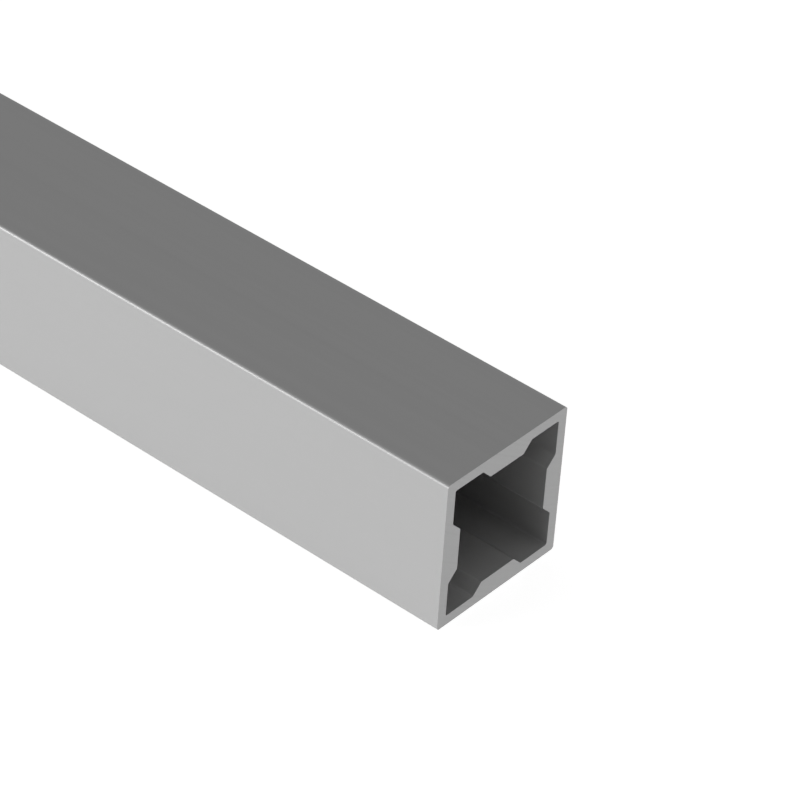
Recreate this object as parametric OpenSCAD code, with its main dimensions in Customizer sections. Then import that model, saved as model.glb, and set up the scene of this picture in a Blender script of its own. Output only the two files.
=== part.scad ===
// Square profile, extruded in one piece: a thin-walled square tube that has a thicker
// pad along the inside of each wall, at its middle. It lies on one of its four faces,
// along X. The origin is in that face, under the middle of the length.

/* [Profile] */
// Outside width of each of the four sides
side = 30; // [20:0.5:60]
// Length between the two sawn ends
length = 1000; // [50:10:6000]
// Thickness of the walls, from the pads to the corners
wall = 2; // [1:0.1:3]

/* [Pads] */
// Thickness of a wall and its pad together
pad_thickness = 4; // [3:0.1:6]
// Width of the flat top of a pad
pad_top_w = 8.3; // [2:0.1:9]
// Slope of a pad's two flanks, measured from the wall
flank_angle = 45; // [30:5:75]

/* [Edges] */
// Radius of the four long outside edges
outer_r = 0.6; // [0.1:0.05:2]
// Radius of the four corners of the hollow
corner_r = 0.4; // [0.1:0.05:1]
// Radius of the edges along a pad's flat top
crest_r = 0.35; // [0.1:0.05:1]
// Radius of the hollow edges along the foot of a pad
foot_r = 0.7; // [0.1:0.05:1]

/* [Hidden] */
$fn = 48;
// Square hollow between the walls
hollow_w = side - 2 * wall;
// Half the width of a pad where its flanks would meet the wall in sharp edges
pad_foot_x = pad_top_w / 2 + (pad_thickness - wall) / tan(flank_angle);
// How far an arc reaches along a flank, or along the flat beside it, for each unit of its radius
arc_reach = tan(flank_angle / 2);

// Square with round corners, about the origin
module rounded_square(width, radius) {
    straight = width - 2 * radius;
    square([width, straight], center = true);
    square([straight, width], center = true);
    for (x = [-1, 1], y = [-1, 1])
        translate([x, y] * straight / 2)
            circle(radius);
}

// One side of a pad, from its middle line to its foot, with the outer face of its wall on the X axis.
// Straight lines join the ends of the two arcs, then one arc fills out and the other one cuts in.
module half_pad() {
    crest_x = pad_top_w / 2 - crest_r * arc_reach;
    foot_x = pad_foot_x + foot_r * arc_reach;
    along_flank = [cos(flank_angle), -sin(flank_angle)];
    crest_end = [pad_top_w / 2, pad_thickness] + along_flank * crest_r * arc_reach;
    foot_end = [pad_foot_x, wall] - along_flank * foot_r * arc_reach;
    difference() {
        union() {
            polygon([
                [0, 0],
                [foot_x, 0],
                [foot_x, wall],
                foot_end,
                crest_end,
                [crest_x, pad_thickness],
                [0, pad_thickness],
            ]);
            translate([crest_x, pad_thickness - crest_r])
                circle(crest_r);
        }
        translate([foot_x, wall + foot_r])
            circle(foot_r);
    }
}

// Pad in the middle of one wall, with the section's centre at the origin
module pad() {
    translate([0, -side / 2]) {
        half_pad();
        mirror([1, 0])
            half_pad();
    }
}

// Opening that runs through the profile: a square, less the four pads
module hollow() {
    difference() {
        rounded_square(hollow_w, corner_r);
        for (turn = [0:3])
            rotate(90 * turn)
                pad();
    }
}

// Cross-section, centred on the origin
module section() {
    difference() {
        rounded_square(side, outer_r);
        hollow();
    }
}

module square_profile() {
    color("silver")
        translate([-length / 2, 0, side / 2])
            rotate([90, 0, 90])
                linear_extrude(length)
                    section();
}

square_profile();
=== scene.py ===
import math

import bmesh
import bpy
from mathutils import Euler, Matrix, Vector


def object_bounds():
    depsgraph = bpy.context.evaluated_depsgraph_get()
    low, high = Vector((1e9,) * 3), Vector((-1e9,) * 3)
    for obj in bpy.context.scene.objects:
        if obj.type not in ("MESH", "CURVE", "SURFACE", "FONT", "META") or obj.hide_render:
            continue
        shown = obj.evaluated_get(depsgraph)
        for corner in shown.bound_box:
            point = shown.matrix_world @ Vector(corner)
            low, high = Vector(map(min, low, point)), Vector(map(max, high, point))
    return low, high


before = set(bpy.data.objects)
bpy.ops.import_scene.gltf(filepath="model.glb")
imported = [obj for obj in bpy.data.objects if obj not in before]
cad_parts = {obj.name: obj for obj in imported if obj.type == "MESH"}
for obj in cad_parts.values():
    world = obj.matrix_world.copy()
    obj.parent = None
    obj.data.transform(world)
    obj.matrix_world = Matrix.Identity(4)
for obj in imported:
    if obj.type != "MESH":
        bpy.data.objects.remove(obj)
cad_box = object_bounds()
low, high = cad_box

# The profile is one aluminium extrusion, etched to a satin and anodised in its natural grey, inside
# and out. The die leaves faint lines along it, and the etch leaves a fine grain and wide, barely
# duller patches. Both ends are sawn after that, so they are bare metal with the blade's marks. Their
# grey is painted shade: it is set darker than the satin's, so that the sawn ends look shaded.
MM = 0.001
SATIN_GREY = 0.48
SATIN_METALNESS = 0.85
SATIN_ROUGHNESS = 0.5
# Painted shade: the sawn ends' grey is kept darker than the satin's, so that the end faces look
# shaded.
SAWN_GREY_PAINTED_SHADE = 0.388
SAWN_METALNESS = 1.0
SAWN_ROUGHNESS = 0.55
SAWN_FACING = 0.5
DIE_LINE_WIDTH = 0.7 * MM
DIE_LINE_LENGTH = 1200 * MM
DIE_LINE_TONE = 0.015
DIE_LINE_ROUGHNESS = 0.03
DIE_LINE_HEIGHT = 0.002 * MM
GRAIN_SIZE = 0.16 * MM
GRAIN_TONE = 0.012
GRAIN_HEIGHT = 0.0015 * MM
PATCH_WIDTH = 60 * MM
PATCH_LENGTH = 180 * MM
PATCH_TONE = 0.01
BLADE_CENTRE = Vector((0, 90, 150)) * MM
BLADE_MARK_WIDTH = 0.45 * MM
BLADE_MARK_TONE = 0.025
BLADE_MARK_ROUGHNESS = 0.06
BLADE_MARK_HEIGHT = 0.004 * MM

profile_metal = bpy.data.materials.new("satin_anodised_aluminium")
profile_metal.use_nodes = True
metal_nodes = profile_metal.node_tree.nodes
metal_links = profile_metal.node_tree.links
metal = metal_nodes["Principled BSDF"]


def feed(socket, value):
    """Links a socket of the metal to another one, or sets it to a plain value."""
    if isinstance(value, bpy.types.NodeSocket):
        metal_links.new(value, socket)
    else:
        socket.default_value = value


def metal_maths(operation, *values):
    """A Math node of the metal."""
    node = metal_nodes.new("ShaderNodeMath")
    node.operation = operation
    for socket, value in zip(node.inputs, values):
        feed(socket, value)
    return node.outputs["Value"]


def metal_place(operation, *values, result="Vector"):
    """A Vector Math node of the metal."""
    node = metal_nodes.new("ShaderNodeVectorMath")
    node.operation = operation
    for socket, value in zip(node.inputs, values):
        feed(socket, value)
    return node.outputs[result]


def metal_noise(dimensions, place, detail, roughness=0.5):
    """Noise about zero, from -1 to 1. A place is counted in the pattern's own widths."""
    noise = metal_nodes.new("ShaderNodeTexNoise")
    noise.noise_dimensions = dimensions
    noise.normalize = False
    feed(noise.inputs["Scale"], 1.0)
    feed(noise.inputs["Detail"], detail)
    feed(noise.inputs["Roughness"], roughness)
    feed(noise.inputs["W" if dimensions == "1D" else "Vector"], place)
    return noise.outputs["Fac"]


surface = metal_nodes.new("ShaderNodeTexCoord")
facing = metal_nodes.new("ShaderNodeSeparateXYZ")
feed(facing.inputs[0], surface.outputs["Normal"])
sawn = metal_maths("GREATER_THAN", metal_maths("ABSOLUTE", facing.outputs["X"]), SAWN_FACING)


def satin_or_sawn(satin, sawn_end):
    """The first value on the satin faces, and the second on the sawn ends."""
    choice = metal_nodes.new("ShaderNodeMix")
    feed(choice.inputs["Factor"], sawn)
    feed(choice.inputs["A"], satin)
    feed(choice.inputs["B"], sawn_end)
    return choice.outputs["Result"]


spot = surface.outputs["Object"]
die_line_size = (DIE_LINE_LENGTH, DIE_LINE_WIDTH, DIE_LINE_WIDTH)
die_lines = metal_noise("3D", metal_place("DIVIDE", spot, die_line_size), detail=4, roughness=0.65)
grain_size = (GRAIN_SIZE, GRAIN_SIZE, GRAIN_SIZE)
grain = metal_noise("3D", metal_place("DIVIDE", spot, grain_size), detail=1)
patch_size = (PATCH_LENGTH, PATCH_WIDTH, PATCH_WIDTH)
patches = metal_noise("3D", metal_place("DIVIDE", spot, patch_size), detail=2)

from_blade = metal_place("SUBTRACT", spot, (low + high) / 2 + BLADE_CENTRE)
in_cut = metal_place("MULTIPLY", from_blade, (0, 1, 1))
blade_radius = metal_place("LENGTH", in_cut, result="Value")
blade_marks = metal_noise("1D", metal_maths("DIVIDE", blade_radius, BLADE_MARK_WIDTH), detail=3)

marks = satin_or_sawn(die_lines, blade_marks)
mark_tone = satin_or_sawn(DIE_LINE_TONE, BLADE_MARK_TONE)
mark_roughness = satin_or_sawn(DIE_LINE_ROUGHNESS, BLADE_MARK_ROUGHNESS)
mark_height = satin_or_sawn(DIE_LINE_HEIGHT, BLADE_MARK_HEIGHT)

tone = metal_maths("MULTIPLY_ADD", marks, mark_tone, 1.0)
tone = metal_maths("MULTIPLY_ADD", grain, GRAIN_TONE, tone)
tone = metal_maths("MULTIPLY_ADD", patches, PATCH_TONE, tone)
# On the sawn ends the grey carries painted shade, darker than the satin grey.
grey = satin_or_sawn(SATIN_GREY, SAWN_GREY_PAINTED_SHADE)
dullness = satin_or_sawn(SATIN_ROUGHNESS, SAWN_ROUGHNESS)
feed(metal.inputs["Base Color"], metal_maths("MULTIPLY", grey, tone))
feed(metal.inputs["Metallic"], satin_or_sawn(SATIN_METALNESS, SAWN_METALNESS))
feed(metal.inputs["Roughness"], metal_maths("MULTIPLY_ADD", marks, mark_roughness, dullness))

relief = metal_nodes.new("ShaderNodeBump")
feed(relief.inputs["Distance"], 1.0)
mark_relief = metal_maths("MULTIPLY", marks, mark_height)
feed(relief.inputs["Height"], metal_maths("MULTIPLY_ADD", grain, GRAIN_HEIGHT, mark_relief))
feed(metal.inputs["Normal"], relief.outputs["Normal"])

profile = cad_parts["square_profile"]
profile.material_slots[0].material = profile_metal

# The floor is a plain pale disc, lit until it is nearly white, and the room is as white past its
# edge. It takes the profile's shadow, and is clear from below, where the profile's lower face shows.
FLOOR_RADIUS = 1600 * MM
FLOOR_CORNERS = 64
FLOOR_GAP = 0.1 * MM
FLOOR_PALE = (0.6, 0.6, 0.6, 1)
FLOOR_LIFT = 0.75

floor_mesh = bpy.data.meshes.new("floor")
floor_form = bmesh.new()
bmesh.ops.create_circle(floor_form, cap_ends=True, radius=FLOOR_RADIUS, segments=FLOOR_CORNERS)
floor_form.to_mesh(floor_mesh)
floor_form.free()
floor = bpy.data.objects.new("floor", floor_mesh)
floor.location.z = low.z - FLOOR_GAP
bpy.context.collection.objects.link(floor)

floor_paint = bpy.data.materials.new("pale_floor")
floor_paint.use_nodes = True
floor_nodes = floor_paint.node_tree.nodes
floor_links = floor_paint.node_tree.links
floor_nodes.clear()
matt = floor_nodes.new("ShaderNodeBsdfDiffuse")
matt.inputs["Color"].default_value = FLOOR_PALE

ray = floor_nodes.new("ShaderNodeLightPath")
seen = ray.outputs["Is Camera Ray"]
for kind in ("Is Glossy Ray", "Is Transmission Ray"):
    either = floor_nodes.new("ShaderNodeMath")
    either.operation = "MAXIMUM"
    floor_links.new(seen, either.inputs[0])
    floor_links.new(ray.outputs[kind], either.inputs[1])
    seen = either.outputs["Value"]
strength = floor_nodes.new("ShaderNodeMath")
strength.operation = "MULTIPLY"
floor_links.new(seen, strength.inputs[0])
strength.inputs[1].default_value = FLOOR_LIFT
lift = floor_nodes.new("ShaderNodeEmission")
floor_links.new(strength.outputs["Value"], lift.inputs["Strength"])

lit = floor_nodes.new("ShaderNodeAddShader")
floor_links.new(matt.outputs["BSDF"], lit.inputs[0])
floor_links.new(lift.outputs["Emission"], lit.inputs[1])
clear = floor_nodes.new("ShaderNodeBsdfTransparent")
face = floor_nodes.new("ShaderNodeNewGeometry")
from_below = floor_nodes.new("ShaderNodeMixShader")
floor_links.new(face.outputs["Backfacing"], from_below.inputs["Fac"])
floor_links.new(lit.outputs["Shader"], from_below.inputs[1])
floor_links.new(clear.outputs["BSDF"], from_below.inputs[2])
output = floor_nodes.new("ShaderNodeOutputMaterial")
floor_links.new(from_below.outputs["Shader"], output.inputs["Surface"])
floor_mesh.materials.append(floor_paint)

# The room has white walls, seen low down at the horizon, and a dim ceiling. The top of the profile
# mirrors the ceiling, which makes it the dark side.
WALL = (1.0, 1.0, 1.0, 1)
CEILING = (0.305, 0.305, 0.305, 1)
WALL_TOP = 0.04
CEILING_FOOT = 0.14

room = bpy.data.worlds.new("room")
bpy.context.scene.world = room
room.use_nodes = True
room_nodes = room.node_tree.nodes
room_links = room.node_tree.links
direction = room_nodes.new("ShaderNodeTexCoord")
upward = room_nodes.new("ShaderNodeSeparateXYZ")
room_links.new(direction.outputs["Generated"], upward.inputs[0])
rise = room_nodes.new("ShaderNodeMapRange")
rise.interpolation_type = "SMOOTHSTEP"
rise.inputs["From Min"].default_value = WALL_TOP
rise.inputs["From Max"].default_value = CEILING_FOOT
room_links.new(upward.outputs["Z"], rise.inputs["Value"])
shade = room_nodes.new("ShaderNodeMix")
shade.data_type = "RGBA"
shade.inputs["A"].default_value = WALL
shade.inputs["B"].default_value = CEILING
room_links.new(rise.outputs["Result"], shade.inputs["Factor"])
room_links.new(shade.outputs["Result"], room_nodes["Background"].inputs["Color"])

# Two large soft lamps face the middle of the sawn end. One stands low at the front left, so that
# the front is the bright side and the long edge above it shines. The other hangs over the end.
LAMP_DISTANCE = 3000 * MM
end_middle = Vector((high.x, (low.y + high.y) / 2, (low.z + high.z) / 2))


def soft_lamp(name, azimuth, height, size, power):
    """A rectangular lamp that the camera doesn't see. Azimuth 0 is the front, and 90 the right."""
    lamp_data = bpy.data.lights.new(name, "AREA")
    lamp_data.shape = "RECTANGLE"
    lamp_data.size, lamp_data.size_y = size
    lamp_data.energy = power
    lamp = bpy.data.objects.new(name, lamp_data)
    ahead = Vector((0, -1, 0))
    aim = Euler((math.radians(-height), 0, math.radians(azimuth))).to_matrix() @ ahead
    lamp.location = end_middle + aim * LAMP_DISTANCE
    lamp.rotation_mode = "QUATERNION"
    lamp.rotation_quaternion = aim.to_track_quat("Z", "Y")
    lamp.visible_camera = False
    bpy.context.collection.objects.link(lamp)


soft_lamp("front_lamp", azimuth=-53, height=12, size=(3.2, 1.2), power=50.5)
soft_lamp("overhead_lamp", azimuth=75, height=72, size=(1.6, 1.6), power=17.0)

# The camera looks down on the sawn end from the front right, through a long lens, and the rest
# of the profile runs out of the picture at the left.
CAMERA_AZIMUTH = math.radians(38.716)
CAMERA_HEIGHT = math.radians(36.958)
CAMERA_ROLL = math.radians(3.948)
CAMERA_LENS = 166.69
FROM_END_CORNER = Vector((280.8, -364.0, 392.3)) * MM

camera_data = bpy.data.cameras.new("camera")
camera_data.lens = CAMERA_LENS
camera = bpy.data.objects.new("camera", camera_data)
tilt = Euler((math.pi / 2 - CAMERA_HEIGHT, 0, CAMERA_AZIMUTH)).to_matrix()
turn = tilt @ Matrix.Rotation(CAMERA_ROLL, 3, "Z")
end_corner = Vector((high.x, low.y, low.z))
camera.matrix_world = Matrix.LocRotScale(end_corner + FROM_END_CORNER, turn, None)
bpy.context.collection.objects.link(camera)
bpy.context.scene.camera = camera
bpy.context.scene.view_settings.view_transform = "Standard"
